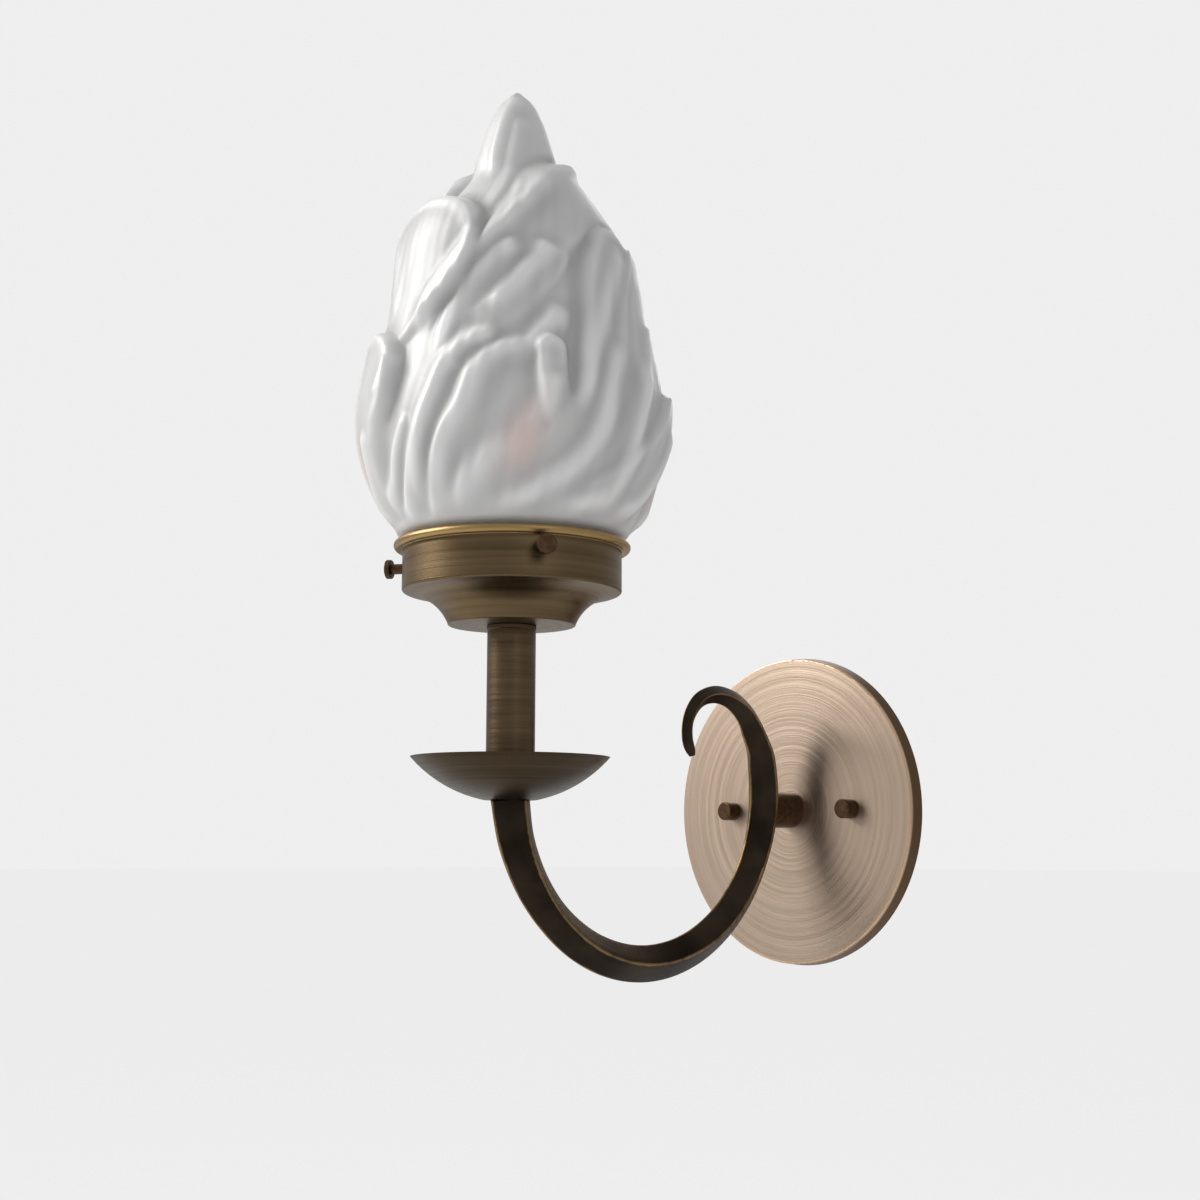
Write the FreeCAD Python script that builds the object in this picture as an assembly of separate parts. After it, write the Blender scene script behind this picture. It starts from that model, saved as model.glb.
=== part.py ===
import FreeCAD, Part
import math
import os

# Torch wall light, millimetres.  The wall is the plane y = 0 and the room lies towards -Y, +Z is up.
# The origin is the centre of the wall plate's back.  The torch stands upright on the line
# x = 0, y = -torch_reach.

# ---- driving dimensions -------------------------------------------------------------------------
torch_reach = 168.5            # wall to the torch's centre line
plate_radius = 68.4            # wall plate at the wall, 137 mm across
plate_face_radius = 67.7
plate_depth = 6.3
plate_sheet = 1.5
stud_spacing = 69.85           # 2-3/4 in between the two knobs
box_screw_spacing = 88.9       # 3-1/2 in between the wall box's screws
pipe_radius = 5.14             # 1/8 in pipe thread
pipe_bore = 3.3
pipe_hole = 5.2
wireway_radius = 3.3
machine_screw_radius = 2.08    # no. 8-32
machine_screw_hole = 2.13
post_radius = 7.94             # 5/8 in round post
arm_circle_radius = 72.5
arm_circle_height = 8.5        # centre of the arm's big curve, above the plate's centre
arm_top = 0.8
dish_radius = 38.8
dish_rim_height = 17.4
dish_sheet = 1.0
stem_radius = 9.525            # 3/4 in tube
stem_top = 66.6
collar_radius = 9.7
gallery_floor = 68.7           # underside of the shade holder
gallery_foot_radius = 25.0
gallery_radius = 43.15
gallery_shoulder = 81.8
gallery_sheet = 1.1
bead_radius = 1.65
bead_centre_height = 99.6
bead_ring_radius = 45.0
screw_height = 92.8
screw_angles = {"front": 65.0, "left": -55.0, "back": 185.0}    # from the room side towards +X
lip_radius = 41.25             # the shade's 3-1/4 in lip
shade_bottom = 83.3
neck_radius = 38.0
neck_inside = 35.9
flame_base = 101.7
flame_top = 288.6
socket_foot = 81.0
socket_rim = 110.4
shell_radius = 13.35           # medium screw base
bulb_tip = 87.0                # lowest point of the lamp's base

os.makedirs("parts", exist_ok=True)
torch_axis = FreeCAD.Vector(0.0, -torch_reach, 0.0)
up = FreeCAD.Vector(0.0, 0.0, 1.0)
to_room = FreeCAD.Vector(0.0, -1.0, 0.0)


def save(name, shape):
    if not shape.isValid():
        raise RuntimeError(name + " is not a valid solid")
    shape.exportStep("parts/" + name + ".step")
    print(name, len(shape.Solids), round(shape.Volume, 1))


def vec(x, y, z):
    return FreeCAD.Vector(x, y, z)


# ---- helpers for turned pieces ------------------------------------------------------------------
def outline_edges(outline):
    """Edges of a closed outline.  An entry of two numbers is a corner, and an entry of four is an
    arc's middle point and its end point."""
    edges = []
    start = outline[0]
    for entry in list(outline[1:]) + [outline[0]]:
        end = entry[-2:]
        if len(entry) == 4:
            edges.append(("arc", start[-2:], entry[:2], end))
        elif math.dist(start[-2:], end) > 1e-6:
            edges.append(("line", start[-2:], None, end))
        start = end
    return edges


def turned(outline):
    """Revolve an outline of (radius, height) about the torch's centre line."""
    edges = []
    for kind, a, middle, b in outline_edges(outline):
        first = vec(a[0], -torch_reach, a[1])
        last = vec(b[0], -torch_reach, b[1])
        if kind == "line":
            edges.append(Part.LineSegment(first, last).toShape())
        else:
            edges.append(Part.Arc(first, vec(middle[0], -torch_reach, middle[1]), last).toShape())
    face = Part.Face(Part.Wire(edges))
    return face.revolve(torch_axis, up, 360.0)


def turned_on_wall(outline, x=0.0, z=0.0):
    """Revolve an outline of (radius, distance from the wall) about a line square to the wall."""
    edges = []
    for kind, a, middle, b in outline_edges(outline):
        first = vec(x + a[0], -a[1], z)
        last = vec(x + b[0], -b[1], z)
        if kind == "line":
            edges.append(Part.LineSegment(first, last).toShape())
        else:
            edges.append(Part.Arc(first, vec(x + middle[0], -middle[1], z), last).toShape())
    face = Part.Face(Part.Wire(edges))
    return face.revolve(vec(x, 0.0, z), to_room, 360.0)


def rod_from_wall(radius, start, end, x=0.0, z=0.0):
    return Part.makeCylinder(radius, end - start, vec(x, -start, z), to_room)


def torch_rod(radius, start, end):
    return Part.makeCylinder(radius, end - start, vec(0.0, -torch_reach, start), up)


def torch_tube(outer, inner, start, end):
    return torch_rod(outer, start, end).cut(torch_rod(inner, start, end))


def hexagon_bar(across_flats, base, axis, height):
    corner = across_flats / math.sqrt(3.0)
    side_a = vec(1.0, 0.0, 0.0)
    side_b = axis.cross(side_a)
    points = []
    for k in range(7):
        angle = math.radians(60.0 * k)
        points.append(base + side_a * (corner * math.cos(angle)) + side_b * (corner * math.sin(angle)))
    return Part.Face(Part.makePolygon(points)).extrude(axis * height)


def hex_nut(across_flats, hole, base, axis, height):
    nut = hexagon_bar(across_flats, base, axis, height)
    nut = nut.cut(Part.makeCylinder(hole, height, base, axis))
    bevel_big = across_flats * 0.5 + 2.2
    cone = Part.makeCone(bevel_big, bevel_big - 1.6 * height, height, base, axis)
    return nut.common(cone.fuse(Part.makeCylinder(across_flats * 0.5, height, base, axis)))


# ---- wall plate and what holds it ---------------------------------------------------------------
def wall_plate():
    inner_radius = plate_face_radius - 0.9
    plate = turned_on_wall([
        (pipe_hole + 0.15, plate_depth),
        (plate_face_radius - 0.8, plate_depth),
        (plate_face_radius - 0.15, plate_depth - 0.15, plate_face_radius, plate_depth - 0.8),
        (plate_radius, 0.0),
        (plate_radius - 1.4, 0.0),
        (inner_radius, plate_depth - plate_sheet - 0.8),
        (inner_radius - 0.25, plate_depth - plate_sheet - 0.25, inner_radius - 0.8, plate_depth - plate_sheet),
        (pipe_hole + 0.15, plate_depth - plate_sheet),
    ])
    for side in (-1, 1):
        plate = plate.cut(rod_from_wall(machine_screw_radius + 0.25, 0.0, plate_depth,
                                        side * stud_spacing / 2))
    return plate


mounting_ring_sheet = 1.6
mounting_ring_radius = 52.5
mounting_ring_opening = 20.5
slot_half_width = 2.4
slot_length = 10.0


def radial_slot(angle):
    """Slot for a wall-box screw, its length running out from the centre."""
    straight = slot_length - 2 * slot_half_width
    slot = Part.makeBox(2 * slot_half_width, mounting_ring_sheet, straight,
                        vec(-slot_half_width, -mounting_ring_sheet, box_screw_spacing / 2 - straight / 2))
    for end in (-1, 1):
        z = box_screw_spacing / 2 + end * straight / 2
        slot = slot.fuse(rod_from_wall(slot_half_width, 0.0, mounting_ring_sheet, 0.0, z))
    slot.rotate(vec(0, 0, 0), to_room, angle)
    return slot


ground_screw_place = (-21.5, -26.5)


def mounting_ring():
    ring = rod_from_wall(mounting_ring_radius, 0.0, mounting_ring_sheet)
    ring = ring.cut(rod_from_wall(mounting_ring_opening, 0.0, mounting_ring_sheet))
    for side in (-1, 1):
        ring = ring.cut(rod_from_wall(machine_screw_radius + 0.02, 0.0, mounting_ring_sheet,
                                      side * stud_spacing / 2))
    for angle in (0.0, 180.0):
        ring = ring.cut(radial_slot(angle))
    x, z = ground_screw_place
    return ring.cut(rod_from_wall(machine_screw_radius + 0.02, 0.0, mounting_ring_sheet, x, z))


stud_end = 11.6


def plate_studs():
    """Two threaded studs, screwed into the mounting ring."""
    studs = []
    for side in (-1, 1):
        stud = rod_from_wall(machine_screw_radius, 0.0, stud_end - 0.6, side * stud_spacing / 2)
        tip = Part.makeCone(machine_screw_radius, machine_screw_radius - 0.6, 0.6,
                            vec(side * stud_spacing / 2, -(stud_end - 0.6), 0.0), to_room)
        studs.append(stud.fuse(tip))
    return Part.makeCompound(studs)


def ground_screw():
    x, z = ground_screw_place
    shank = rod_from_wall(machine_screw_radius, 0.0, mounting_ring_sheet, x, z)
    head = hexagon_bar(7.0, vec(x, -mounting_ring_sheet, z), to_room, 2.2)
    slot = Part.makeBox(9.0, 0.9, 1.1, vec(x - 4.5, -mounting_ring_sheet - 2.2, z - 0.55))
    return shank.fuse(head).cut(slot)


knob_radius = 4.2
knob_end = 12.9
knob_seat_gap = 0.02


def plate_knob(side):
    """Cylindrical cap nut with rounded edges, screwed on a stud against the plate's face."""
    start = plate_depth + knob_seat_gap
    return turned_on_wall([
        (machine_screw_hole, start),
        (knob_radius - 0.3, start),
        (knob_radius - 0.09, start + 0.09, knob_radius, start + 0.3),
        (knob_radius, knob_end - 0.7),
        (knob_radius - 0.2, knob_end - 0.2, knob_radius - 0.7, knob_end),
        (0.0, knob_end),
        (0.0, stud_end + 0.2),
        (machine_screw_hole, stud_end + 0.2),
    ], side * stud_spacing / 2)


# ---- scroll arm ---------------------------------------------------------------------------------
arm_circle_reach = torch_reach - math.sqrt(arm_circle_radius ** 2 - (arm_circle_height - arm_top) ** 2)
arm_overlap = 3.0              # how far the bar is drawn above its flat top before it is cut
arm_start_rise = arm_circle_height - arm_top - arm_overlap
arm_start_angle = 180.0 + math.degrees(math.asin(arm_start_rise / arm_circle_radius))
arm_end_angle = 371.0
# the curl after the big curve, as (distance from the wall, height)
curl_points = [(29.0, 31.2), (35.0, 40.6), (43.6, 46.8), (54.2, 48.9), (64.2, 45.8), (70.4, 38.0),
               (71.4, 29.2), (68.4, 22.0)]
# half of the section's corner-to-corner size, against the share of the arm's length
arm_sizes = [(0.0, 10.0), (0.08, 9.0), (0.17, 7.95), (0.34, 7.85), (0.52, 7.9), (0.62, 8.4),
             (0.69, 8.9), (0.74, 8.5), (0.785, 7.2), (0.82, 5.7), (0.86, 4.4), (0.90, 3.7),
             (0.94, 3.4), (0.985, 3.3), (0.994, 2.7), (1.0, 1.7)]
arm_edge_round = 0.9


def arm_path():
    points = []
    steps = 12
    for k in range(steps + 1):
        angle = math.radians(arm_start_angle + (arm_end_angle - arm_start_angle) * k / steps)
        points.append(vec(0.0, -arm_circle_reach + arm_circle_radius * math.cos(angle),
                          arm_circle_height + arm_circle_radius * math.sin(angle)))
    for reach, height in curl_points:
        points.append(vec(0.0, -reach, height))
    curve = Part.BSplineCurve()
    curve.interpolate(points)
    return curve


def size_at(share):
    for (s0, h0), (s1, h1) in zip(arm_sizes[:-1], arm_sizes[1:]):
        if share <= s1:
            return h0 + (h1 - h0) * (share - s0) / (s1 - s0)
    return arm_sizes[-1][1]


def diamond_section(centre, tangent, half):
    """Square bar standing on its corner, corners rounded: the corners face +-X and in and out."""
    side = vec(1.0, 0.0, 0.0)
    outward = tangent.cross(side)
    rounding = min(arm_edge_round, 0.3 * half)
    depth = rounding * (math.sqrt(2.0) - 1.0)
    corners = [side * half, outward * half, side * -half, outward * -half]
    arcs = []
    for k in range(4):
        before = corners[k - 1] - corners[k]
        after = corners[(k + 1) % 4] - corners[k]
        first = centre + corners[k] + before.normalize() * rounding
        last = centre + corners[k] + after.normalize() * rounding
        arcs.append((first, centre + corners[k] * (1.0 - depth / half), last))
    edges = []
    for k in range(4):
        first, middle, last = arcs[k]
        edges.append(Part.Arc(first, middle, last).toShape())
        edges.append(Part.LineSegment(last, arcs[(k + 1) % 4][0]).toShape())
    return Part.Wire(edges)


def arm_bar():
    curve = arm_path()
    length = curve.length()
    shares = [0.0, 0.04, 0.08, 0.125, 0.17, 0.225, 0.28, 0.34, 0.40, 0.46, 0.52, 0.57, 0.62, 0.66, 0.69,
              0.72, 0.75, 0.785, 0.82, 0.86, 0.90, 0.94, 0.965, 0.985, 0.994, 1.0]
    sections = []
    for share in shares:
        t = curve.parameterAtDistance(share * length, curve.FirstParameter)
        tangent = curve.tangent(t)[0]
        sections.append(diamond_section(curve.value(t), tangent, size_at(share)))
    return Part.makeLoft(sections, True, False)


rod_foot = -7.2


def arm_wireway():
    """Drilled way for the leads: round the big curve from the rod's hole to the post's hole."""
    middle = vec(0.0, -arm_circle_reach, arm_circle_height)
    start_angle = 179.0 + math.degrees(math.asin((arm_circle_height - rod_foot) / arm_circle_radius))
    angle = math.radians(start_angle)
    centre = middle + vec(0.0, math.cos(angle), math.sin(angle)) * arm_circle_radius
    tangent = vec(0.0, -math.sin(angle), math.cos(angle))
    circle = Part.Wire(Part.makeCircle(wireway_radius, centre, tangent))
    post_angle = 360.0 - math.degrees(math.asin(arm_circle_height / arm_circle_radius))
    return Part.Face(circle).revolve(middle, vec(1.0, 0.0, 0.0), post_angle - start_angle)


def scroll_arm():
    arm = arm_bar()
    above = Part.makeBox(60.0, 60.0, 30.0, vec(-30.0, -torch_reach - 30.0, arm_top))
    arm = arm.cut(above)
    rear = -arm_circle_reach + math.sqrt(arm_circle_radius ** 2 - arm_circle_height ** 2)
    arm = arm.cut(arm_wireway())
    arm = arm.cut(torch_rod(pipe_hole, rod_foot, arm_top + 1.0))
    return arm.cut(rod_from_wall(wireway_radius, plate_depth, -rear))


nipple_start = 0.7
nipple_end = 12.6


def arm_post():
    """Round post between the plate and the arm, its end notched to sit over the arm's corner."""
    rear = arm_circle_reach - math.sqrt(arm_circle_radius ** 2 - arm_circle_height ** 2)
    post = rod_from_wall(post_radius, plate_depth, rear)
    bore = rod_from_wall(pipe_hole, plate_depth, nipple_end + 0.4)
    bore = bore.fuse(rod_from_wall(wireway_radius, plate_depth, rear))
    return post.cut(arm_bar()).cut(bore)


def post_nipple():
    return rod_from_wall(pipe_radius, nipple_start, nipple_end).cut(
        rod_from_wall(pipe_bore, nipple_start, nipple_end))


washer_sheet = 0.9
washer_radius = 8.4


def split_ring(base, axis):
    """Lock washer: a flat ring with one cut through it."""
    ring = Part.makeCylinder(washer_radius, washer_sheet, base, axis)
    ring = ring.cut(Part.makeCylinder(pipe_hole + 0.1, washer_sheet, base, axis))
    side = vec(1.0, 0.0, 0.0)
    gap = Part.makeBox(washer_radius, 0.9, washer_sheet)
    gap.translate(vec(0.0, -0.45, 0.0))
    gap.Placement = FreeCAD.Placement(base, FreeCAD.Rotation(up, axis)).multiply(gap.Placement)
    return ring.cut(gap)


plate_inside = plate_depth - plate_sheet


def post_washer():
    return split_ring(vec(0.0, -(plate_inside - washer_sheet), 0.0), to_room)


def post_nut():
    height = plate_inside - washer_sheet - 1.0
    return hex_nut(14.3, pipe_radius + 0.02, vec(0.0, -1.0, 0.0), to_room, height)


# ---- torch stem ---------------------------------------------------------------------------------
dish_flat = 10.2
dish_inside_floor = arm_top + dish_sheet


def dish_sphere():
    """Radius of the dish's round side, from its flat floor out to its rim."""
    rise = dish_rim_height - arm_top
    run = dish_radius ** 2 - dish_flat ** 2
    # centre height c above the floor: flat^2 + c^2 = rim^2 + (c - rise)^2
    centre = (run + rise ** 2) / (2.0 * rise)
    return centre, math.sqrt(dish_flat ** 2 + centre ** 2)


def drip_dish():
    centre, sphere = dish_sphere()
    middle_radius = 27.0
    outer_middle = arm_top + centre - math.sqrt(sphere ** 2 - middle_radius ** 2)
    inner_sphere = sphere - dish_sheet
    inner_middle = arm_top + centre - math.sqrt(inner_sphere ** 2 - middle_radius ** 2)
    inner_rim = math.sqrt(inner_sphere ** 2 - (arm_top + centre - dish_rim_height) ** 2)
    inner_flat = math.sqrt(inner_sphere ** 2 - (centre - dish_sheet) ** 2)
    return turned([
        (pipe_hole, arm_top),
        (dish_flat, arm_top),
        (middle_radius, outer_middle, dish_radius, dish_rim_height),
        (inner_rim, dish_rim_height),
        (middle_radius, inner_middle, inner_flat, dish_inside_floor),
        (pipe_hole, dish_inside_floor),
    ])


def stem_tube():
    return torch_tube(stem_radius, stem_radius - 1.25, dish_inside_floor, stem_top)


rod_top = 80.6


def stem_rod():
    return torch_tube(pipe_radius, pipe_bore, rod_foot, rod_top)


def stem_collar():
    edge = 0.35
    return turned([
        (pipe_hole, stem_top),
        (collar_radius - edge, stem_top),
        (collar_radius, stem_top + edge),
        (collar_radius, gallery_floor - edge),
        (collar_radius - edge, gallery_floor),
        (pipe_hole, gallery_floor),
    ])


# ---- shade holder -------------------------------------------------------------------------------
def radial_rod(radius, start, end, angle, height):
    turn = math.radians(angle)
    direction = vec(math.sin(turn), -math.cos(turn), 0.0)
    foot = vec(0.0, -torch_reach, height) + direction * start
    return Part.makeCylinder(radius, end - start, foot, direction)


gallery_inside = gallery_radius - gallery_sheet


def gallery():
    """Spun brass holder: flat foot, cove, shoulder, straight wall and rolled bead."""
    bead_top = bead_centre_height + bead_radius
    bead_foot = bead_centre_height - bead_radius
    outline = [
        (pipe_hole, gallery_floor),
        (gallery_foot_radius - 0.5, gallery_floor),
        (gallery_foot_radius - 0.1, gallery_floor + 0.12, gallery_foot_radius + 0.1, gallery_floor + 0.6),
        (30.6, gallery_floor + 8.2, gallery_radius - 1.0, gallery_shoulder - 0.25),
        (gallery_radius - 0.2, gallery_shoulder + 0.15, gallery_radius, gallery_shoulder + 1.0),
        (gallery_radius, bead_foot - 0.3),
        (gallery_radius + 0.1, bead_foot - 0.05, gallery_radius + 0.45, bead_foot + 0.15),
        (bead_ring_radius - 0.2, bead_foot),
        (bead_ring_radius + bead_radius, bead_centre_height, bead_ring_radius, bead_top),
        (gallery_inside + 0.8, bead_top),
        (gallery_inside + 0.2, bead_top - 0.25, gallery_inside, bead_top - 0.9),
        (gallery_inside, gallery_shoulder + 1.6),
        (gallery_inside - 0.2, gallery_shoulder + 1.15, gallery_inside - 0.8, gallery_shoulder + 0.95),
        (31.4, gallery_floor + 10.2, gallery_foot_radius - 0.9, gallery_floor + gallery_sheet + 1.0),
        (gallery_foot_radius - 1.1, gallery_floor + gallery_sheet + 0.2,
         gallery_foot_radius - 1.9, gallery_floor + gallery_sheet),
        (pipe_hole, gallery_floor + gallery_sheet),
    ]
    holder = turned(outline)
    for angle in screw_angles.values():
        holder = holder.fuse(radial_rod(3.1, gallery_inside + 0.3, gallery_radius + 0.9, angle, screw_height))
    for angle in screw_angles.values():
        holder = holder.cut(radial_rod(machine_screw_hole, gallery_inside - 1.0, gallery_radius + 2.0,
                                       angle, screw_height))
    return holder


screw_tip = 41.6
screw_head_start = 49.9
screw_head_end = 52.2
screw_head_radius = 3.85


def thumb_screw(angle):
    """Round flat-headed thumb screw, its tip just outside the shade's lip."""
    shank = radial_rod(machine_screw_radius, screw_tip, screw_head_start, angle, screw_height)
    head = radial_rod(screw_head_radius, screw_head_start, screw_head_end, angle, screw_height)
    rims = [edge for edge in head.Edges if edge.Closed]
    return shank.fuse(head.makeFillet(0.5, rims))


def gallery_washer():
    return split_ring(vec(0.0, -torch_reach, gallery_floor + gallery_sheet), up)


nut_height = 3.6


def gallery_nut():
    base = gallery_floor + gallery_sheet + washer_sheet
    return hex_nut(14.3, pipe_radius + 0.02, vec(0.0, -torch_reach, base), up, nut_height)


# ---- lamp socket --------------------------------------------------------------------------------
hickey_sheet = 1.4
socket_radius = 18.0


def socket_hickey():
    """Threaded steel collar with two ears that the porcelain is screwed to."""
    collar = torch_tube(7.6, pipe_radius + 0.02, socket_foot - 5.2, socket_foot - hickey_sheet)
    plate = Part.makeBox(30.0, 11.0, hickey_sheet,
                         vec(-15.0, -torch_reach - 5.5, socket_foot - hickey_sheet))
    hickey = collar.fuse(plate).cut(torch_rod(pipe_radius + 0.02, socket_foot - 5.2, socket_foot))
    for side in (-1, 1):
        hickey = hickey.cut(Part.makeCylinder(1.55, hickey_sheet,
                            vec(side * socket_screw_reach, -torch_reach, socket_foot - hickey_sheet), up))
    return hickey


socket_screw_reach = 10.8
shell_sheet = 0.5
shell_floor = socket_foot + 4.4
contact_sheet = 0.6


def socket_body():
    """Glazed porcelain body with a well for the screw shell."""
    body = turned([
        (4.0, socket_foot),
        (socket_radius - 1.5, socket_foot),
        (socket_radius, socket_foot + 1.5),
        (socket_radius, socket_foot + 11.0),
        (socket_radius - 0.9, socket_foot + 12.4, socket_radius - 1.4, socket_foot + 14.0),
        (socket_radius - 1.4, socket_rim - 1.2),
        (socket_radius - 1.8, socket_rim - 0.3, socket_radius - 2.6, socket_rim),
        (shell_radius + shell_sheet + 0.05, socket_rim),
        (shell_radius + shell_sheet + 0.05, shell_floor),
        (4.0, shell_floor),
    ])
    for side in (-1, 1):
        place = vec(side * socket_screw_reach, -torch_reach, socket_foot)
        body = body.cut(Part.makeCylinder(1.6, shell_floor - socket_foot, place, up))
        body = body.cut(Part.makeCylinder(2.9, 2.0, place + vec(0, 0, shell_floor - socket_foot - 2.0), up))
    return body


def socket_screws():
    """Two round-headed screws from the porcelain's floor into the hickey's ears."""
    screws = []
    for side in (-1, 1):
        place = vec(side * socket_screw_reach, -torch_reach, socket_foot - hickey_sheet)
        shank_length = shell_floor - 2.0 - place.z
        shank = Part.makeCylinder(1.5, shank_length, place, up)
        head = Part.makeCylinder(2.7, 1.7, place + vec(0, 0, shank_length), up)
        screws.append(shank.fuse(head))
    return Part.makeCompound(screws)


def socket_shell():
    """Brass screw shell with a floor flange and an opening for the centre contact."""
    bottom = shell_floor
    outer = shell_radius + shell_sheet
    return turned([
        (8.0, bottom),
        (outer, bottom),
        (outer, socket_rim - 1.6),
        (shell_radius, socket_rim - 1.6),
        (shell_radius, bottom + shell_sheet),
        (8.0, bottom + shell_sheet),
    ]).cut(Part.makeBox(30.0, 5.8, 2.0, vec(-15.0, -torch_reach - 2.9, bottom - 0.5)))


def socket_contact():
    """Spring brass strip in the middle of the socket, riveted through the floor."""
    strip = Part.makeBox(5.0, 4.4, contact_sheet, vec(-2.5, -torch_reach - 2.2, bulb_tip - 0.1 - contact_sheet))
    stem = torch_rod(2.0, socket_foot + 1.0, bulb_tip - 0.1 - contact_sheet)
    foot = torch_rod(3.6, shell_floor, shell_floor + 0.8)
    return strip.fuse(stem).fuse(foot)


# ---- lamp ---------------------------------------------------------------------------------------
cap_radius = 13.0
cap_start = bulb_tip + 3.6
cap_end = 112.0
cap_sheet = 0.35
envelope_sheet = 0.7
globe_radius = 24.0
lamp_length = 88.0
lamp_neck_radius = 12.6


def lamp_cap():
    return turned([
        (cap_radius - 1.5, cap_start),
        (cap_radius - 0.3, cap_start + 0.3),
        (cap_radius, cap_start + 1.2),
        (cap_radius, cap_end),
        (cap_radius - cap_sheet, cap_end),
        (cap_radius - cap_sheet, cap_start + 1.3),
        (cap_radius - 1.5, cap_start + cap_sheet),
    ])


def lamp_insulator():
    """Black glass between the cap and the centre contact."""
    return turned([
        (3.6, bulb_tip + 0.6),
        (cap_radius - 1.5, cap_start),
        (cap_radius - 1.5, cap_start + 0.3),
        (cap_radius - 2.5, cap_start + 1.2),
        (0.0, cap_start + 1.2),
        (0.0, bulb_tip + 1.2),
        (3.6, bulb_tip + 1.2),
    ])


def lamp_contact():
    return turned([
        (0.0, bulb_tip),
        (2.4, bulb_tip),
        (3.3, bulb_tip + 0.15, 3.5, bulb_tip + 1.1),
        (0.0, bulb_tip + 1.1),
    ])


def envelope_outline(inset):
    """Neck and ball of the lamp's glass, joined by an arc that runs smoothly into both."""
    neck = lamp_neck_radius - inset
    ball = globe_radius - inset
    centre = bulb_tip + lamp_length - globe_radius
    foot = cap_end + 0.4
    rise = centre - foot
    bend = (neck ** 2 + rise ** 2 - ball ** 2) / (2.0 * (ball - neck))
    reach = bend + ball
    join = (ball * (neck + bend) / reach, centre - ball * rise / reach)
    half_turn = 0.5 * math.atan2(rise, neck + bend)
    middle = (neck + bend - bend * math.cos(half_turn), foot + bend * math.sin(half_turn))
    crown = (ball * math.cos(0.5), centre + ball * math.sin(0.5))
    return neck, foot, middle, join, crown, centre + ball


def lamp_glass():
    neck, foot, middle, join, crown, top = envelope_outline(0.0)
    inner_neck, foot, inner_middle, inner_join, inner_crown, inner_top = envelope_outline(envelope_sheet)
    bottom = cap_end - 5.0
    return turned([
        (inner_neck, bottom),
        (neck, bottom),
        (neck, foot),
        middle + join,
        crown + (0.0, top),
        (0.0, inner_top),
        inner_crown + inner_join,
        inner_middle + (inner_neck, foot),
    ])


filament_low = 119.0
filament_high = 149.0


def lamp_stem():
    """Glass mount inside the lamp: a foot in the neck, a taper and a thin post up to the filaments."""
    foot_end = filament_low - 8.0
    post_start = filament_low - 4.0
    foot = torch_rod(3.2, cap_start + 4.0, foot_end)
    taper = Part.makeCone(3.2, 1.9, post_start - foot_end, vec(0.0, -torch_reach, foot_end), up)
    post = torch_rod(1.9, post_start, filament_high + 3.5)
    return foot.fuse(taper).fuse(post).removeSplitter()


filament_angles = [54.0, 144.0, 234.0, 324.0]
filament_foot_reach = 6.0
filament_head_reach = 12.0


def filament_ends(angle):
    turn = math.radians(angle)
    out = vec(math.sin(turn), -math.cos(turn), 0.0)
    low = vec(0.0, -torch_reach, filament_low) + out * filament_foot_reach
    high = vec(0.0, -torch_reach, filament_high) + out * filament_head_reach
    return low, high


def lamp_filaments():
    """Four glass sticks with coated light sources, leaning outwards."""
    sticks = []
    for angle in filament_angles:
        low, high = filament_ends(angle)
        sticks.append(Part.makeCylinder(0.9, (high - low).Length, low, high - low))
    return Part.makeCompound(sticks)


def lamp_wires():
    """Support wires from the glass mount to both ends of each filament."""
    wires = []
    for angle in filament_angles:
        turn = math.radians(angle)
        out = vec(math.sin(turn), -math.cos(turn), 0.0)
        low, high = filament_ends(angle)
        lower = vec(0.0, -torch_reach, filament_low - 2.0) + out * 1.6
        upper = vec(0.0, -torch_reach, filament_high + 2.0) + out * 1.6
        aim = (high - low).normalize()
        for start, end in ((lower, low - aim * 0.4), (upper, high + aim * 0.4)):
            wire = Part.makeCylinder(0.35, (end - start).Length, start, end - start)
            wires.append(wire.cut(lamp_stem()).cut(lamp_filaments()))
    return Part.makeCompound(wires)


# ---- flame shade --------------------------------------------------------------------------------
# Radius of the glass between its folds, as (height, radius).
valley = [(flame_base, 41.6), (103.2, 44.2), (107.0, 46.6), (113.0, 49.6), (120.0, 52.2), (130.0, 55.0),
          (142.0, 57.0), (155.0, 56.6), (165.0, 54.2), (180.0, 50.0), (192.0, 46.6), (205.0, 43.8),
          (218.0, 40.0), (228.0, 34.5), (236.0, 28.5), (243.0, 23.0), (249.0, 18.6), (257.0, 16.6),
          (266.0, 14.0), (276.0, 10.6), (284.0, 6.2), (flame_top, 1.2)]

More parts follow.
